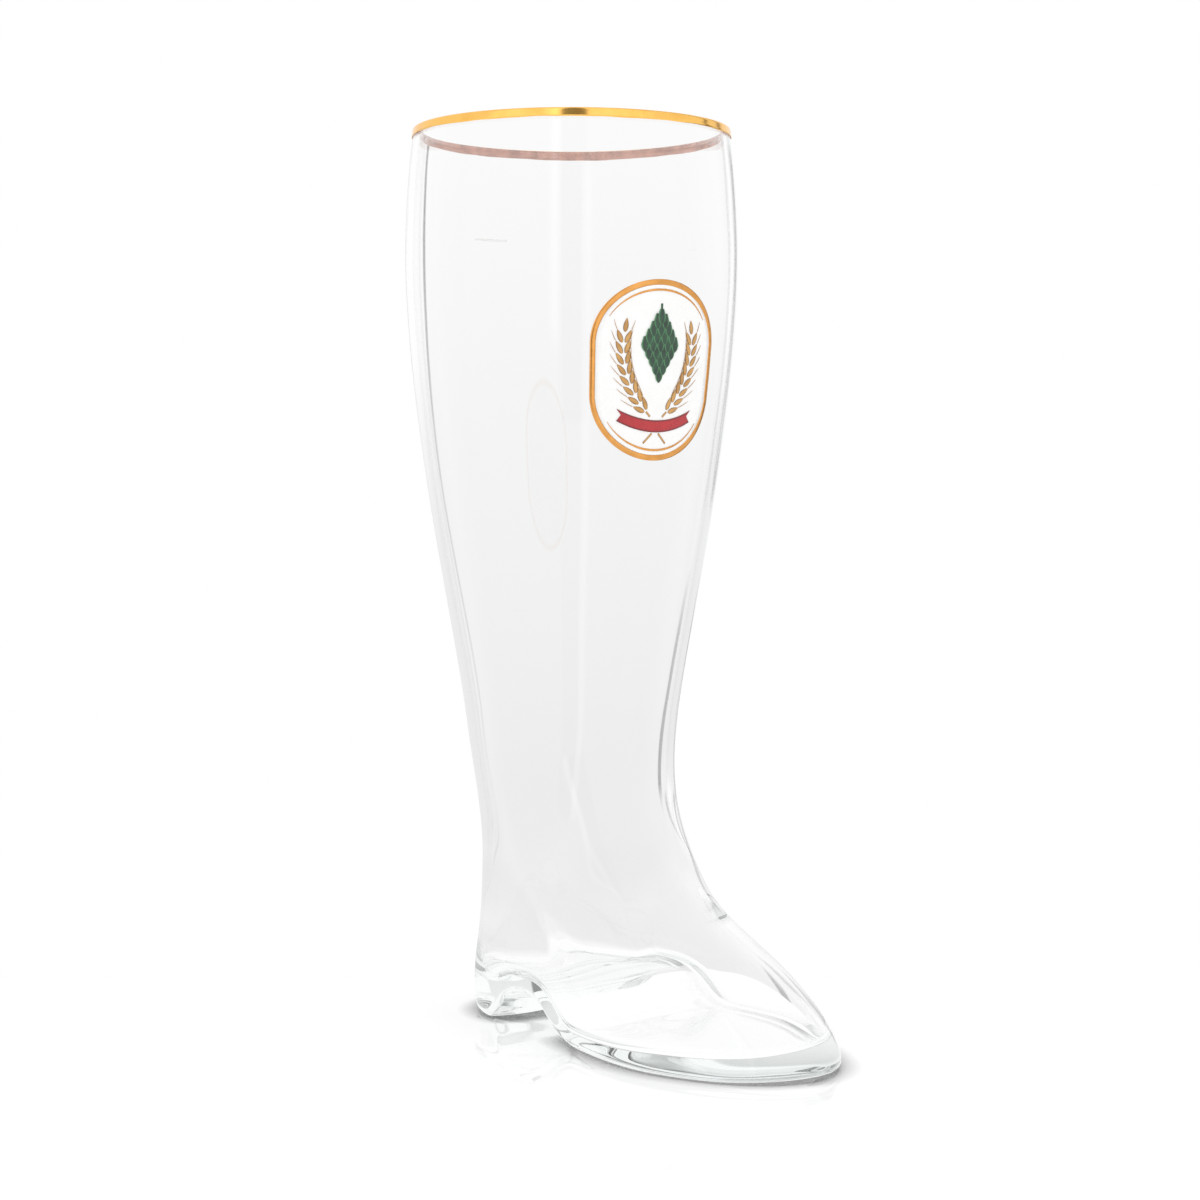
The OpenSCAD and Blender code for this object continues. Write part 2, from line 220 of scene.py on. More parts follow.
def glass_rings():
    """Level, height, inset, front inset, growth, narrowing and wave of each ring in turn: the
    sole, the outside, the lip, the inside and the floor inside."""
    rings = []
    for narrow in (0.0, 1 / 3, 2 / 3):
        inset = sole_edge_radius + sole_closing * (1 - narrow)
        rings.append((0, 0, inset, inset, 0, narrow, 0))
    for turn in (0, 30, 60):
        inset = sole_edge_radius * (1 - sin(radians(turn)))
        z = sole_edge_radius * (1 - cos(radians(turn)))
        rings.append((0, z, inset, inset, 0, 1, 0))
    for z in heights(sole_edge_radius):
        rings.append((z, z, 0, 0, 0, 1, 0))
    rings.append((lip_level, lip_level, 0, 0, 0, 1, 0))
    for turn in (20, 45, 70, 110, 135, 160):
        across, rise = lip_corner(turn)
        inset = lip_round * (1 - across)
        rings.append((lip_level, lip_level + lip_round * rise, inset, inset, 0, 1, 0))
    rings.append((lip_level, lip_level, leg_wall, leg_wall, leg_wall, 1, 0))
    floor_top = sole_thickness + inner_floor_radius
    for z in reversed(heights(floor_top)):
        front = mix(leg_wall, toe_wall, clamp(1 - z / ankle_height))
        wave = inner_wave * ease((lip_level - z) / wave_fade)
        rings.append((z, z, leg_wall, front, leg_wall, 1, wave))
    for turn in (60, 30, 0):
        edge = inner_floor_radius * (1 - sin(radians(turn)))
        z = floor_top - inner_floor_radius * cos(radians(turn))
        rings.append((floor_top, z, leg_wall + edge, toe_wall + edge, leg_wall, 1, 0))
    for narrow in (2 / 3, 1 / 3, 0.0):
        edge = inner_floor_radius + inner_floor_closing * (1 - narrow)
        rings.append((floor_top, sole_thickness, leg_wall + edge, toe_wall + edge, leg_wall,
                      narrow, 0))
    return rings


def finish_piece(name, mesh, slot, node, *materials):
    """Makes the object from its bmesh, with outward faces, and ties it to the frame."""
    bmesh.ops.recalc_face_normals(mesh, faces=mesh.faces)
    data = bpy.data.meshes.new(name)
    mesh.to_mesh(data)
    mesh.free()
    data.polygons.foreach_set("use_smooth", [True] * len(data.polygons))
    for material in materials:
        data.materials.append(material)
    piece = bpy.data.objects.new(name, data)
    bpy.context.scene.collection.objects.link(piece)
    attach(piece, "root")
    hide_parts(node)
    return piece


def subdivide(piece, levels):
    modifier = piece.modifiers.new("subdivision", "SUBSURF")
    modifier.levels = modifier.render_levels = levels


def nodes_of(owner):
    """The emptied node tree of a material or world, with a short call that adds a node to it."""
    owner.use_nodes = True
    tree = owner.node_tree
    tree.nodes.clear()

    def add(kind, inputs=(), **settings):
        node = tree.nodes.new(kind)
        for key, value in settings.items():
            setattr(node, key, value)
        for key, value in dict(inputs).items():
            if isinstance(value, bpy.types.NodeSocket):
                tree.links.new(value, node.inputs[key])
            else:
                node.inputs[key].default_value = value
        return node

    return add


def grey(add, value):
    """A colour whose three parts are one value."""
    return add("ShaderNodeCombineColor", {k: value for k in range(3)}).outputs[0]


def clear_glass():
    """Clear soda glass with a slow swell in its skin. Light on its way to a lit surface goes
    straight through it, and is dimmed where it meets the glass at a slant. So does light that
    has been mirrored inside the glass more often than the render follows."""
    material = bpy.data.materials.new("clear_glass")
    add = nodes_of(material)
    place = add("ShaderNodeTexCoord").outputs["Object"]
    swell = add("ShaderNodeTexNoise", {"Vector": place, "Scale": 22.0, "Detail": 1.0})
    bump = add("ShaderNodeBump", {"Height": swell.outputs["Fac"], "Strength": 0.12,
                                  "Distance": 0.0012})
    glass = add("ShaderNodeBsdfPrincipled", {
        "Base Color": (1, 1, 1, 1), "Roughness": 0.0, "IOR": glass_ior,
        "Transmission Weight": 1.0, "Normal": bump.outputs["Normal"]})
    slant = add("ShaderNodeLayerWeight", {"Blend": 0.5})
    dimmed = add("ShaderNodeMapRange", {"Value": slant.outputs["Facing"], "From Min": 0.3,
                                        "From Max": 1.0, "To Min": 0.995, "To Max": 0.5})
    straight = add("ShaderNodeBsdfTransparent", {"Color": grey(add, dimmed.outputs[0])})
    path = add("ShaderNodeLightPath")
    lighting = add("ShaderNodeMath", {0: path.outputs["Is Shadow Ray"],
                                      1: path.outputs["Is Diffuse Ray"]}, operation="MAXIMUM")
    trapped = add("ShaderNodeMath", {0: path.outputs["Glossy Depth"], 1: most_reflections},
                  operation="GREATER_THAN")
    freed = add("ShaderNodeMath", {0: lighting.outputs[0], 1: trapped.outputs[0]},
                operation="MAXIMUM")
    surface = add("ShaderNodeMixShader", {0: freed.outputs[0], 1: glass.outputs[0],
                                          2: straight.outputs[0]})
    depth = add("ShaderNodeVolumeAbsorption", {"Color": (*glass_tint, 1),
                                               "Density": glass_density})
    add("ShaderNodeOutputMaterial", {"Surface": surface.outputs[0], "Volume": depth.outputs[0]})
    return material


def grow(mesh, row, closed=True):
    """Extrudes a row of vertices once and gives the new row in the same order."""
    ends = row[1:] + row[:1] if closed else row[1:]
    edges = [mesh.edges.get(pair) for pair in zip(row, ends)]
    grown = bmesh.ops.extrude_edge_only(mesh, edges=edges)["geom"]
    fresh = {item for item in grown if isinstance(item, bmesh.types.BMVert)}
    return [next(edge.other_vert(vert) for edge in vert.link_edges
                 if edge.other_vert(vert) in fresh) for vert in row]


boot = bmesh.new()
ring = bmesh.ops.create_circle(boot, segments=2 * side_steps, radius=lip_radius)["verts"]
rings = glass_rings()
shape_ring(ring, *rings[0])
for places in rings[1:]:
    ring = grow(boot, ring)
    shape_ring(ring, *places)
bmesh.ops.remove_doubles(boot, verts=boot.verts, dist=1e-6)
glass = finish_piece("blown_boot", boot, "boot_glass", "boot_glass", clear_glass())
subdivide(glass, 2)


# Gilding of the lip: bright gold brushed over the fired lip and burnished. It runs down the
# outside in a narrow band from the top of the lip.
gilding_height = 0.0018
film_gap = 0.00005
gilding_film = 0.00012
brush_wave = 0.00008
gilding_steps = 128
gold_thin = (0.94, 0.50, 0.115)
gold_full = (0.99, 0.575, 0.145)
underside_dark = (0.50, 0.27, 0.21)
underside_light = (0.74, 0.40, 0.31)


def two_tones(add, pattern, dark_at, dark, light_at, light):
    """The pattern in a dark and a light tone of one finish, and what lies between them."""
    ramp = add("ShaderNodeValToRGB", {"Fac": pattern.outputs["Fac"]})
    first, last = ramp.color_ramp.elements
    first.position, first.color = dark_at, (*dark, 1)
    last.position, last.color = light_at, (*light, 1)
    return ramp.outputs["Color"]


def burnished_gold():
    """Bright gold with fine brush strokes round the lip and a few thin places."""
    material = bpy.data.materials.new("burnished_gold")
    add = nodes_of(material)
    place = add("ShaderNodeTexCoord").outputs["Object"]
    lie = add("ShaderNodeMapping", {"Vector": place, "Scale": (60.0, 60.0, 900.0)})
    strokes = add("ShaderNodeTexNoise", {"Vector": lie.outputs[0], "Scale": 1.0, "Detail": 4.0})
    worn = add("ShaderNodeTexNoise", {"Vector": place, "Scale": 140.0, "Detail": 3.0})
    rough = add("ShaderNodeMapRange", {"Value": strokes.outputs["Fac"], "To Min": 0.08,
                                       "To Max": 0.2})
    bump = add("ShaderNodeBump", {"Height": strokes.outputs["Fac"], "Strength": 0.15,
                                  "Distance": 0.0001})
    gold = add("ShaderNodeBsdfPrincipled", {
        "Base Color": two_tones(add, worn, 0.30, gold_thin, 0.52, gold_full), "Metallic": 1.0,
        "Roughness": rough.outputs[0], "Normal": bump.outputs["Normal"]})
    add("ShaderNodeOutputMaterial", {"Surface": gold.outputs[0]})
    return material


def gold_from_behind():
    """The gold's fired underside, seen through the glass: a dull copper brown."""
    material = bpy.data.materials.new("gold_from_behind")
    add = nodes_of(material)
    place = add("ShaderNodeTexCoord").outputs["Object"]
    blotch = add("ShaderNodeTexNoise", {"Vector": place, "Scale": 260.0, "Detail": 3.0})
    brown = add("ShaderNodeBsdfPrincipled", {
        "Base Color": two_tones(add, blotch, 0.35, underside_dark, 0.62, underside_light),
        "Metallic": 0.6, "Roughness": 0.15})
    add("ShaderNodeOutputMaterial", {"Surface": brown.outputs[0]})
    return material


def lip_profile(lift):
    """Points up the outside of the lip to its top, as (radius, height)."""
    points = []
    for fall in (gilding_height, gilding_height / 2, 0):
        points.append((section(lip_level - fall)[1] + lift, lip_level - fall))
    middle = section(lip_level)[1] - lip_round
    for turn in (10, 20, 32, 45, 58, 70, 80):
        across, rise = lip_corner(turn)
        points.append((middle + (lip_round + lift) * across,
                       lip_level + (lip_round + lift) * rise))
    return points


lip = bmesh.new()
profile = lip_profile(film_gap + gilding_film) + lip_profile(film_gap)[::-1]
outline = [lip.verts.new((radius - box_centre, 0, z)) for radius, z in profile]
loop = [lip.edges.new(pair) for pair in zip(outline, outline[1:] + outline[:1])]
bmesh.ops.spin(lip, geom=outline + loop, cent=(-box_centre, 0, 0), axis=(0, 0, 1),
               angle=2 * pi, steps=gilding_steps, use_merge=True)
bmesh.ops.recalc_face_normals(lip, faces=lip.faces)
for face in lip.faces:
    centre = face.calc_center_median() + Vector((box_centre, 0, 0))
    turn = atan2(centre.y, centre.x)
    middle = Vector(((lip_radius - lip_round) * cos(turn), (lip_radius - lip_round) * sin(turn),
                     min(centre.z, lip_level)))
    face.material_index = int(face.normal.dot((centre - middle).normalized()) < -0.5)
for vert in lip.verts:
    if vert.co.z < lip_level - gilding_height / 2:
        turn = atan2(vert.co.y, vert.co.x + box_centre)
        vert.co.z += brush_wave * (sin(7 * turn) + 0.7 * sin(17 * turn + 2)
                                   + 0.5 * sin(31 * turn))
finish_piece("lip_gilding", lip, "gold", "rim_gilding", burnished_gold(), gold_from_behind())


# White ground of the badge: one even pull of white enamel through a screen, fired on the shin.
badge_half_width = 0.0258
badge_half_height = 0.0315
badge_straight = 0.017
badge_level = glass_height - 0.090
badge_turn = radians(-1.2)
border_width = 0.002
enamel_film = 0.00015


def oval(inset, turn):
    """A point of the badge's outline: half an oval over and under a straight stretch."""
    end = badge_half_height - badge_straight / 2 - inset
    side = 0
    if abs(sin(turn)) > 1e-6:
        side = badge_straight / 2 if sin(turn) > 0 else -badge_straight / 2
    return Vector(((badge_half_width - inset) * cos(turn), side + end * sin(turn), 0))


def lay_on_leg(verts, layer, level=badge_level, turn=badge_turn):
    """Wraps flat work, x along, y up and z off the glass, round the outside of the leg."""
    for vert in verts:
        z = level + vert.co.y
        radius = section(z)[1] + film_gap + layer * (enamel_film + film_gap) + vert.co.z
        angle = turn + vert.co.x / section(level)[1]
        vert.co = (radius * cos(angle) - box_centre, radius * sin(angle), z)


def thicken(mesh, faces, thickness=enamel_film):
    """Gives flat faces the thickness of a fired layer and returns the raised vertices."""
    grown = bmesh.ops.extrude_face_region(mesh, geom=faces, use_keep_orig=True)["geom"]
    raised = [item for item in grown if isinstance(item, bmesh.types.BMVert)]
    bmesh.ops.translate(mesh, verts=raised, vec=(0, 0, thickness))
    return raised


def enamel(name, light, dark, roughness=0.2, edge=None, thinness=0.0):
    """Fired enamel: two close tones in soft clouds, screen grain, a glassy coat. With an edge
    colour, it reads the piece's own map and turns to that colour towards the leaf's sides."""
    material = bpy.data.materials.new(name)
    add = nodes_of(material)
    texture = add("ShaderNodeTexCoord")
    place = texture.outputs["Object"]
    cloud = add("ShaderNodeTexNoise", {"Vector": place, "Scale": 180.0, "Detail": 5.0})
    grain = add("ShaderNodeTexNoise", {"Vector": place, "Scale": 2600.0, "Detail": 2.0})
    colour = two_tones(add, cloud, 0.36, dark, 0.60, light)
    if edge:
        across = add("ShaderNodeSeparateXYZ", {0: texture.outputs["UV"]}).outputs["X"]
        side = add("ShaderNodeMath", {0: across, 1: 0.5}, operation="SUBTRACT")
        reach = add("ShaderNodeMath", {0: side.outputs[0]}, operation="ABSOLUTE")
        rim = add("ShaderNodeMapRange", {"Value": reach.outputs[0], "From Min": 0.30,
                                         "From Max": 0.46})
        tint = add("ShaderNodeMix", {0: rim.outputs[0], 6: colour, 7: (*edge, 1)},
                   data_type="RGBA")
        colour = tint.outputs[2]
    rough = add("ShaderNodeMapRange", {"Value": grain.outputs["Fac"], "To Min": roughness,
                                       "To Max": roughness + 0.16})
    bump = add("ShaderNodeBump", {"Height": grain.outputs["Fac"], "Strength": 0.25,
                                  "Distance": 0.00005})
    fired = add("ShaderNodeBsdfPrincipled", {
        "Base Color": colour, "Roughness": rough.outputs[0], "Coat Weight": 0.4,
        "Coat Roughness": 0.08, "Alpha": 1 - thinness, "Normal": bump.outputs["Normal"]})
    add("ShaderNodeOutputMaterial", {"Surface": fired.outputs[0]})
    return material


ground = bmesh.new()
sheet = bmesh.ops.create_grid(ground, x_segments=24, y_segments=36, size=1)["verts"]
for vert in sheet:
    side = oval(border_width + film_gap, vert.co.y * pi / 2 * 0.985)
    vert.co = (vert.co.x * side.x, side.y, 0)
thicken(ground, list(ground.faces))
lay_on_leg(ground.verts, 0)
finish_piece("badge_white", ground, "white_enamel", "badge_ground",
             enamel("white_enamel", light=(0.985, 0.98, 0.975), dark=(0.965, 0.96, 0.95)))


# Gold border and thin inner lines: bright gold printed round the white after its first firing
# and fired again at a lower heat, so it stays metallic and stands a hair proud.
line_gap = 0.0013
line_width = 0.00075
line_end_share = 0.2
line_sweep = 120
border_steps = 144
line_steps = 48
border_sink = 0.4 * enamel_film
print_thin = (0.66, 0.31, 0.085)
print_full = (0.76, 0.365, 0.105)


def printed_gold():
    """Printed gold: smooth and bright, a little more granular than the burnished lip."""
    material = bpy.data.materials.new("printed_gold")
    add = nodes_of(material)
    place = add("ShaderNodeTexCoord").outputs["Object"]
    grain = add("ShaderNodeTexNoise", {"Vector": place, "Scale": 1500.0, "Detail": 3.0})
    cloud = add("ShaderNodeTexNoise", {"Vector": place, "Scale": 220.0, "Detail": 3.0})
    rough = add("ShaderNodeMapRange", {"Value": grain.outputs["Fac"], "To Min": 0.08,
                                       "To Max": 0.20})
    bump = add("ShaderNodeBump", {"Height": grain.outputs["Fac"], "Strength": 0.2,
                                  "Distance": 0.00005})
    gold = add("ShaderNodeBsdfPrincipled", {
        "Base Color": two_tones(add, cloud, 0.32, print_thin, 0.60, print_full),
        "Metallic": 1.0, "Roughness": rough.outputs[0], "Normal": bump.outputs["Normal"]})
    add("ShaderNodeOutputMaterial", {"Surface": gold.outputs[0]})
    return material


def oval_band(start, sweep, steps, middle, half_width, layer):
    """A printed band along the badge's outline, slightly crowned; half_width is a call on the
    share of the way along it."""
    mesh = bmesh.new()
    across = (-1, -0.5, 0, 0.5, 1)
    row = [mesh.verts.new((0, 0, 0)) for _ in across]
    for pair in zip(row, row[1:]):
        mesh.edges.new(pair)
    for i in range(steps + 1):
        if i:
            row = grow(mesh, row, closed=False)
        for vert, share in zip(row, across):
            vert.co = oval(middle + share * half_width(i / steps), start + sweep * i / steps)
    bmesh.ops.remove_doubles(mesh, verts=mesh.verts, dist=1e-7)
    for vert in thicken(mesh, list(mesh.faces)):
        if not all(abs(face.normal.z) > 0.9 for face in vert.link_faces):
            vert.co.z -= border_sink
    lay_on_leg(mesh.verts, layer)
    return mesh


gold_print = printed_gold()
border = oval_band(0, 2 * pi, border_steps, border_width / 2, lambda share: border_width / 2, 0)
finish_piece("badge_gold_border", border, "gold_enamel", "badge_border", gold_print)

lines = bmesh.new()
for start in (30, 210):
    arc = oval_band(radians(start), radians(line_sweep), line_steps,
                    border_width + line_gap + line_width / 2,
                    lambda share: line_width / 2 * mix(line_end_share, 1, sin(pi * share)), 1)
    part = bpy.data.meshes.new("arc")
    arc.to_mesh(part)
    arc.free()
    lines.from_mesh(part)
    bpy.data.meshes.remove(part)
finish_piece("badge_gold_lines", lines, "gold_enamel", "badge_line", gold_print)


# Hop cone: dark green enamel, printed over the white. Its bracts hang in rows, each row set
# between the bracts of the row above, and each bract has a paler rim.
hop_length = 0.024
hop_width = 0.015
hop_rise = 0.12
hop_rows = (2, 3, 4, 5, 4, 3, 2, 1)
hop_step = 0.00003
hop_stem_width = 0.0009
bract_outline = ((0, 0.45), (0.2, 0.7), (0.5, 1.0), (0.72, 0.88), (0.9, 0.5), (1, 0.08))
stem_outline = ((0, 1), (1, 0.8))


def width_at(outline, share):
    """Width of a leaf at a share of its length, between the outline's (share, width) pairs."""
    for (a, low), (b, high) in zip(outline, outline[1:]):
        if share <= b + 1e-9:
            return mix(low, high, (share - a) / (b - a))


def leaf(mesh, foot, turn, length, width, outline, lean=0.0, crown=0.55):
    """One printed leaf from its foot to its tip, crowned, with a map across and along it."""
    sheet = bmesh.ops.create_grid(mesh, x_segments=4, y_segments=8, size=1)["verts"]
    faces = list({face for vert in sheet for face in vert.link_faces})
    leaf_map = mesh.loops.layers.uv.verify()
    for face in faces:
        for corner in face.loops:
            corner[leaf_map].uv = ((corner.vert.co.x + 1) / 2, (corner.vert.co.y + 1) / 2)
    raised = thicken(mesh, faces)
    for vert in sheet + raised:
        across, along = vert.co.x, (vert.co.y + 1) / 2
        half = width / 2 * width_at(outline, along)
        x, y = across * half + lean * along * along * length, along * length
        lift = vert.co.z * (1 - crown * across * across)
        vert.co = (foot[0] + x * cos(turn) - y * sin(turn),
                   foot[1] + x * sin(turn) + y * cos(turn), lift)
    return sheet + raised


cone = bmesh.new()
cone_top = 2 * badge_half_height * hop_rise + hop_length / 2
bract_pitch = hop_width / max(hop_rows)
row_drop = hop_length / (len(hop_rows) + 1)
for i, count in enumerate((1,) + hop_rows):
    level = cone_top - (i - 1 if i else -0.6) * row_drop
    for k in range(count):
        bract = leaf(cone, ((k - (count - 1) / 2) * bract_pitch, level), pi, 2 * row_drop,
                     bract_pitch * 0.985, bract_outline, crown=0.1)
        bmesh.ops.translate(cone, verts=bract[len(bract) // 2:],
                            vec=(0, 0, hop_step * (len(hop_rows) - i)))
leaf(cone, (0, cone_top + 1.3 * row_drop), pi, row_drop, hop_stem_width, stem_outline)
lay_on_leg(cone.verts, 1)
finish_piece("hop_cone_print", cone, "hop_enamel", "hop_cone",
             enamel("hop_green", light=(0.018, 0.075, 0.035), dark=(0.008, 0.03, 0.018),
                    roughness=0.24, edge=(0.09, 0.30, 0.12)))


# Barley ears: gold-brown enamel. Each ear bows up its side of the badge, with its grains in
# pairs, one at the tip, a beard of fine bristles, and its stalk crossed below the ribbon.
ear_rows = 8
ear_foot = (2 * badge_half_width * 0.09, -2 * badge_half_height * 0.225)
ear_heading = radians(45)
ear_bend = radians(60)
grain_lean = radians(24)
grain_length = 0.0048
grain_width = 0.0019
grain_pitch = 0.0037
stalk_width = 0.0007
bristle_length = 0.0052
bristle_width = 0.00022
bristle_lean = -0.10
ribbon_length = 0.0316
ribbon_width = 0.0042
ribbon_level = -2 * badge_half_height * 0.31
grain_outline = ((0, 0.3), (0.15, 0.78), (0.4, 1), (0.65, 0.8), (0.86, 0.42), (1, 0.08))
bristle_outline = ((0, 1), (0.6, 0.8), (1, 0.25))
stalk_outline = ((0, 1), (1, 1))


def ear(mesh, side):
    """One ear with its stalk, on the side of the badge that side gives the sign of."""
    length = grain_pitch * (ear_rows + 1)
    bow = length / ear_bend

    def heading(distance):
        return ear_heading - ear_bend * distance / length

    def spine(distance):
        turn = heading(distance)
        return (ear_foot[0] + bow * (cos(turn) - cos(ear_heading)),
                ear_foot[1] + bow * (sin(ear_heading) - sin(turn)))

    def place(x, y, turn, size, width, outline, lean=0.0):
        leaf(mesh, (side * x, y), -side * turn, size, width, outline, side * lean)

    for i in range(ear_rows):
        x, y = spine(grain_pitch * i)
        for hand in (-1, 1):
            turn = heading(grain_pitch * i)
            step = hand * grain_width * 0.32
            x2, y2 = x + step * cos(turn), y - step * sin(turn)
            turn += hand * grain_lean
            place(x2, y2, turn, grain_length, grain_width, grain_outline)
            reach = grain_length * 1.06
            place(x2 + reach * sin(turn), y2 + reach * cos(turn), turn,
                  bristle_length * (1 - 0.05 * i), bristle_width, bristle_outline,
                  bristle_lean * hand)
    x, y = spine(grain_pitch * ear_rows)
    turn = heading(grain_pitch * ear_rows)
    place(x, y, turn, grain_length, grain_width, grain_outline)
    tail = grain_length * 0.6
    place(ear_foot[0] - tail * sin(ear_heading), ear_foot[1] - tail * cos(ear_heading),
          ear_heading, grain_length * 0.5, stalk_width, stalk_outline)
    leaf(mesh, (-side * stalk_width * 2, ribbon_level - ribbon_width * 0.6),
         side * (pi - ear_heading), grain_length, stalk_width, stalk_outline)


ears = bmesh.new()
for side in (-1, 1):
    ear(ears, side)
lay_on_leg(ears.verts, 1)
finish_piece("barley_print", ears, "barley_enamel", "barley_ears",
             enamel("barley_gold", light=(0.66, 0.36, 0.10), dark=(0.50, 0.25, 0.06),
                    roughness=0.24, edge=(0.22, 0.10, 0.03)))


# Ribbon: red enamel over the stalks, hanging in a shallow bow with a notch cut in each end.
ribbon_sag = ribbon_width * 0.9
notch_depth = 0.4 * ribbon_width
notch_start = 0.8

band = bmesh.new()
strip = bmesh.ops.create_grid(band, x_segments=48, y_segments=6, size=1)["verts"]
strip_map = band.loops.layers.uv.verify()
for face in band.faces:
    for corner in face.loops:
        corner[strip_map].uv = ((corner.vert.co.y + 1) / 2, (corner.vert.co.x + 1) / 2)
for vert in strip:
    along, across = vert.co.x, vert.co.y
    cut = clamp((abs(along) - notch_start) / (1 - notch_start))
    notch = notch_depth * (1 - abs(across)) * cut
    vert.co = (along * ribbon_length / 2 - notch * (1 if along > 0 else -1),
               ribbon_level + ribbon_sag * along * along + across * ribbon_width / 2, 0)
thicken(band, list(band.faces))
lay_on_leg(band.verts, 1)
finish_piece("ribbon_print", band, "red_enamel", "ribbon",
             enamel("ribbon_red", light=(0.52, 0.018, 0.025), dark=(0.42, 0.012, 0.02),
                    edge=(0.20, 0.005, 0.01)))


# Fill line: a plain thin stroke of pale enamel on the back of the leg, high under the lip.
fill_line_length = 0.015
fill_line_width = 0.0008
fill_line_level = glass_height - 0.035

stroke = bmesh.new()
mark = bmesh.ops.create_grid(stroke, x_segments=12, y_segments=2, size=1)["verts"]
for vert in mark:
    vert.co = (vert.co.x * fill_line_length / 2, vert.co.y * fill_line_width / 2, 0)
thicken(stroke, list(stroke.faces))
lay_on_leg(stroke.verts, 0, fill_line_level, pi)
finish_piece("fill_line_print", stroke, "mark_enamel", "fill_line",
             enamel("mark_white", light=(0.94, 0.94, 0.93), dark=(0.90, 0.90, 0.89),
                    roughness=0.3, thinness=0.75))


# Floor: a white table top with a slight gloss. It ends a hand's breadth behind the boot, which
# shows only through the glass, and reaches well out of the picture on the other sides.
table_back = 0.100
table_front = 0.95
table_half_width = 0.9
table_drop = 0.00005
table_ior = 1.4
table_glow = 0.09
# Reach and darkest grey of the painted contact shadow on the floor
painted_shadow_reach = 0.008
painted_shadow_darkest = 0.12
white_reach = 0.11
tent_reach = 0.16
white_seen = 1.02
tent_seen = 0.92
bearing_away = Vector((-0.8387, 0.5446, 0))
bearing_right = Vector((0.5446, 0.8387, 0))


def table_top():
    """White, with a slight gloss and a painted contact shadow where the sole and the heel stand
    on it.
    Through the glass it is plain white round the boot and grey further off, as the tent is."""
    material = bpy.data.materials.new("table_white")
    add = nodes_of(material)
    # Painted contact shadow: ambient occlusion within a short reach darkens the floor's colour to
    # a deep grey beside the sole and the heel
    painted_shadow_occlusion = add("ShaderNodeAmbientOcclusion", {"Distance": painted_shadow_reach}, samples=16)
    painted_contact_shadow = add("ShaderNodeMapRange", {"Value": painted_shadow_occlusion.outputs["AO"], "From Min": 0.35,
                                         "To Min": painted_shadow_darkest}).outputs[0]
    matt = add("ShaderNodeBsdfDiffuse", {"Color": grey(add, painted_contact_shadow)})
    gloss = add("ShaderNodeBsdfGlossy", {"Color": (1, 1, 1, 1), "Roughness": 0.0})
    slant = add("ShaderNodeFresnel", {"IOR": table_ior})
    surface = add("ShaderNodeMixShader", {0: slant.outputs[0], 1: matt.outputs[0],
                                          2: gloss.outputs[0]})
    # The floor's glow is dimmed by the same painted shadow
    lift = add("ShaderNodeMath", {0: painted_contact_shadow, 1: table_glow}, operation="MULTIPLY")
    glow = add("ShaderNodeEmission", {"Color": (1, 1, 1, 1), "Strength": lift.outputs[0]})
    outside = add("ShaderNodeAddShader", {0: surface.outputs[0], 1: glow.outputs[0]})
    place = add("ShaderNodeTexCoord").outputs["Object"]
    distance = add("ShaderNodeVectorMath", {0: place}, operation="LENGTH").outputs["Value"]
    fading = add("ShaderNodeMapRange", {"Value": distance, "From Min": white_reach,
                                        "From Max": tent_reach, "To Min": white_seen,
                                        "To Max": tent_seen})
    through = add("ShaderNodeEmission", {"Color": (1, 1, 1, 1), "Strength": fading.outputs[0]})
    path = add("ShaderNodeLightPath")
    both = add("ShaderNodeMixShader", {0: path.outputs["Is Singular Ray"],
                                       1: outside.outputs[0], 2: through.outputs[0]})
    add("ShaderNodeOutputMaterial", {"Surface": both.outputs[0]})
    return material


table = bmesh.new()
for vert in bmesh.ops.create_grid(table, x_segments=8, y_segments=8, size=1.0)["verts"]:
    vert.co = (bearing_right * (vert.co.x * table_half_width)
               + bearing_away * mix(-table_front, table_back, (vert.co.y + 1) / 2)
               - Vector((0, 0, table_drop)))
table_data = bpy.data.meshes.new("table")
table.to_mesh(table_data)
table.free()
table_data.materials.append(table_top())
table_object = bpy.data.objects.new("table", table_data)
bpy.context.scene.collection.objects.link(table_object)


# Camera: eye level with the boot's leg, a metre in front of the toe's left side.
camera_place = (0.7689, -0.5139, 0.1900)
camera_lens = 78.0
camera_dip = radians(2.22)

camera_data = bpy.data.cameras.new("camera")
camera_data.sensor_width = 36.0
camera_data.lens = camera_lens
camera = bpy.data.objects.new("camera", camera_data)
camera.location = camera_place
look = bearing_away * cos(camera_dip) - Vector((0, 0, sin(camera_dip)))
camera.rotation_euler = look.to_track_quat("-Z", "Y").to_euler()
bpy.context.scene.collection.objects.link(camera)
bpy.context.scene.camera = camera


# Studio light: a white tent. What metal and glass see of it is not even: a backdrop that
# greys towards the table, dark gaps at the sides and two large soft boxes behind the camera.
plain_tent = 1.0
tent_in_glass = 0.92
backdrop_low = 0.82
backdrop_high = 0.97
# From and to bearing and softness in degrees, the heights where it starts and is full, shade
slits = (
    (-12.3, -11.3, 0.3, -9, 6, 0.06),
    (11.5, 14.5, 0.5, -3.4, -5, 0.2),
    (17, 23, 1, -3.2, -2.2, 0.37),
)

world = bpy.data.worlds.new("studio")
bpy.context.scene.world = world
add = nodes_of(world)
direction = add("ShaderNodeTexCoord").outputs["Generated"]
away = add("ShaderNodeVectorMath", {0: direction, 1: bearing_away}, operation="DOT_PRODUCT")
right = add("ShaderNodeVectorMath", {0: direction, 1: bearing_right}, operation="DOT_PRODUCT")
bearing = add("ShaderNodeMath", {0: right.outputs["Value"], 1: away.outputs["Value"]},
              operation="ARCTAN2").outputs[0]
height = add("ShaderNodeSeparateXYZ", {0: direction}).outputs["Z"]
path = add("ShaderNodeLightPath")
glassy = path.outputs["Is Singular Ray"]


def times(a, b):
    return add("ShaderNodeMath", {0: a, 1: b}, operation="MULTIPLY").outputs[0]


def laid_over(factor, a, b):
    return add("ShaderNodeMix", {"Factor": factor, 2: a, 3: b}, data_type="FLOAT").outputs[0]


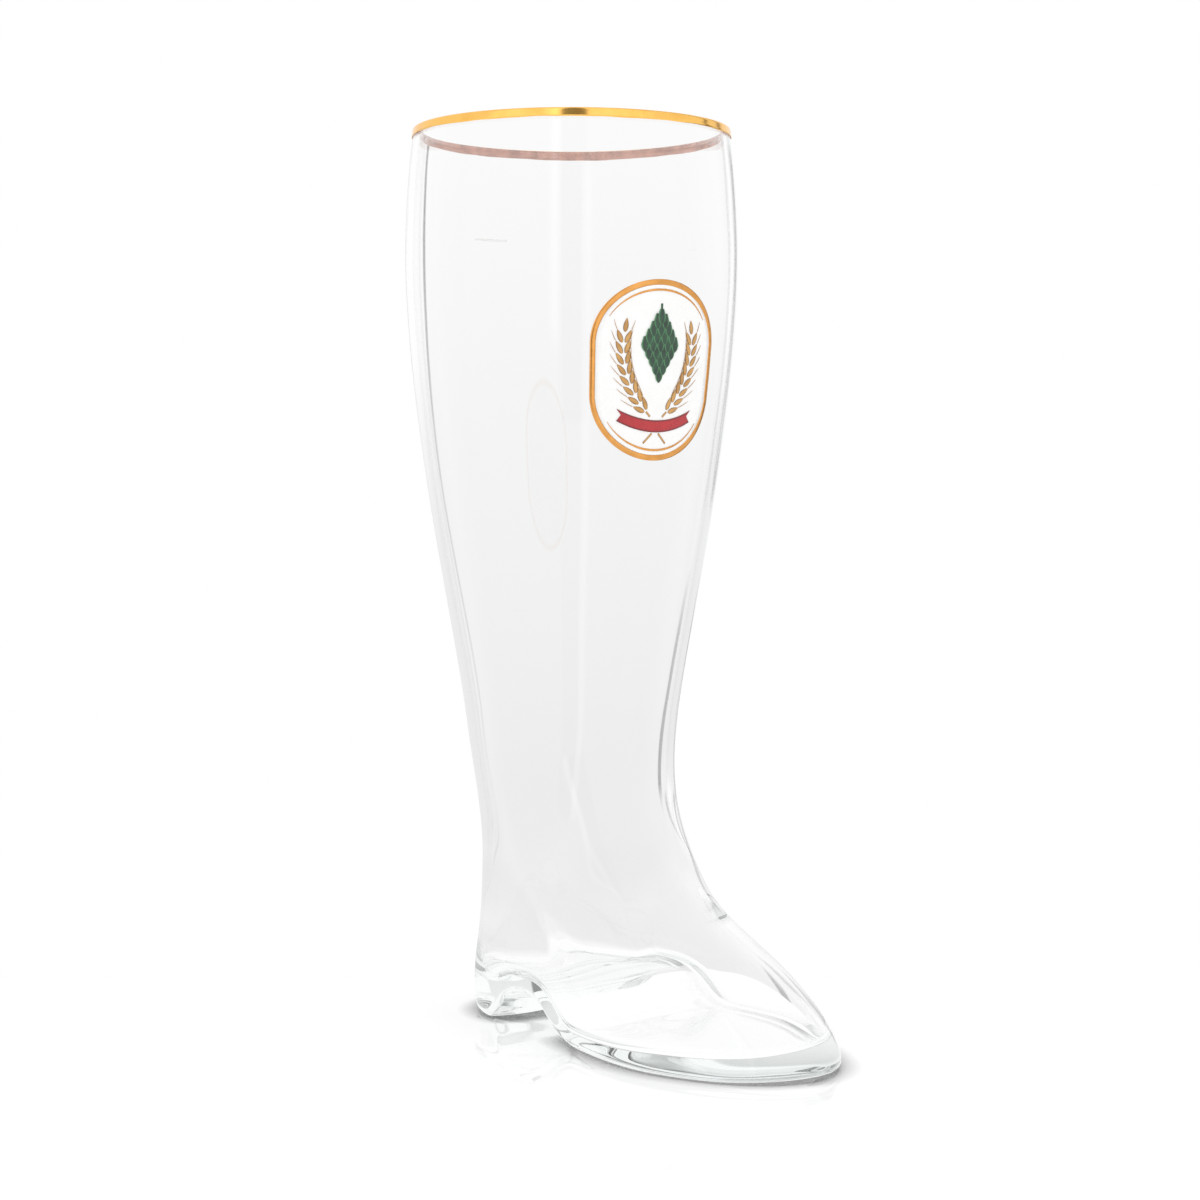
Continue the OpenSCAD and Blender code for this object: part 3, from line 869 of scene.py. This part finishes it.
def by_height(low, high, low_value, high_value):
    """A value that goes evenly from one to another between two heights in degrees."""
    return add("ShaderNodeMapRange", {
        "Value": height, "From Min": sin(radians(low)), "From Max": sin(radians(high)),
        "To Min": low_value, "To Max": high_value}).outputs[0]


def between(low, high, soft):
    """1 between two bearings in degrees, 0 outside them, with soft edges."""
    rise = add("ShaderNodeMapRange", {
        "Value": bearing, "From Min": radians(low - soft), "From Max": radians(low + soft)},
        interpolation_type="SMOOTHSTEP")
    fall = add("ShaderNodeMapRange", {
        "Value": bearing, "From Min": radians(high - soft), "From Max": radians(high + soft),
        "To Min": 1.0, "To Max": 0.0}, interpolation_type="SMOOTHSTEP")
    return times(rise.outputs[0], fall.outputs[0])


backdrop_sides = laid_over(by_height(-3, 2, 1.0, 0.0), between(-15, 17, 5), between(-60, 60, 10))
sides = laid_over(between(-75, 75, 10), laid_over(glassy, plain_tent, tent_in_glass), plain_tent)
shade = laid_over(times(backdrop_sides, by_height(-20, -13, 0.3, 1.0)), sides,
                  by_height(-8, 8, backdrop_low, backdrop_high))

# The slits show only in the glass, and end over the lip's height, so that the table doesn't
# mirror them.
for start, end, soft, fade_from, fade_to, darkest in slits:
    tall = times(by_height(fade_from, fade_to, 0.0, 1.0), by_height(9, 10, 1.0, 0.0))
    shade = laid_over(times(between(start, end, soft), times(tall, glassy)), shade, darkest)

# From and to bearing and softness in degrees, level in metal, level in glass
soft_box = by_height(-8, -5, tent_in_glass, 1.35)
for start, end, soft, in_metal, in_glass in (
        (92, 122, 4, plain_tent, tent_in_glass),
        (-122, -92, 4, plain_tent, tent_in_glass),
        (64.5, 68, 0.3, 0.05, 0.95),
        (44, 50, 1.5, 0.35, 0.93),
        (120, 168, 3, 1.25, 0.9),
        (-166, -120, 3, 1.25, 0.9),
        (-172, -166, 3, 1.7, soft_box),
        (168.5, 190, 0.4, 0.28, 0.72),
        (-190, -173.5, 0.3, 0.28, 0.72)):
    shade = laid_over(between(start, end, soft), shade, laid_over(glassy, in_metal, in_glass))

# A dark gap low at the right, for the metal alone
low_gap = times(by_height(-6, -4, 1.0, 0.0), between(57, 64.5, 0.5))
shade = laid_over(low_gap, shade, laid_over(glassy, 0.15, shade))
mirrored = add("ShaderNodeMath", {0: path.outputs["Is Glossy Ray"],
                                  1: path.outputs["Is Transmission Ray"]}, operation="MAXIMUM")
strength = laid_over(mirrored.outputs[0], plain_tent, shade)
background = add("ShaderNodeBackground", {"Color": (1, 1, 1, 1), "Strength": strength})
add("ShaderNodeOutputWorld", {"Surface": background.outputs[0]})

bpy.context.scene.view_settings.view_transform = "Standard"
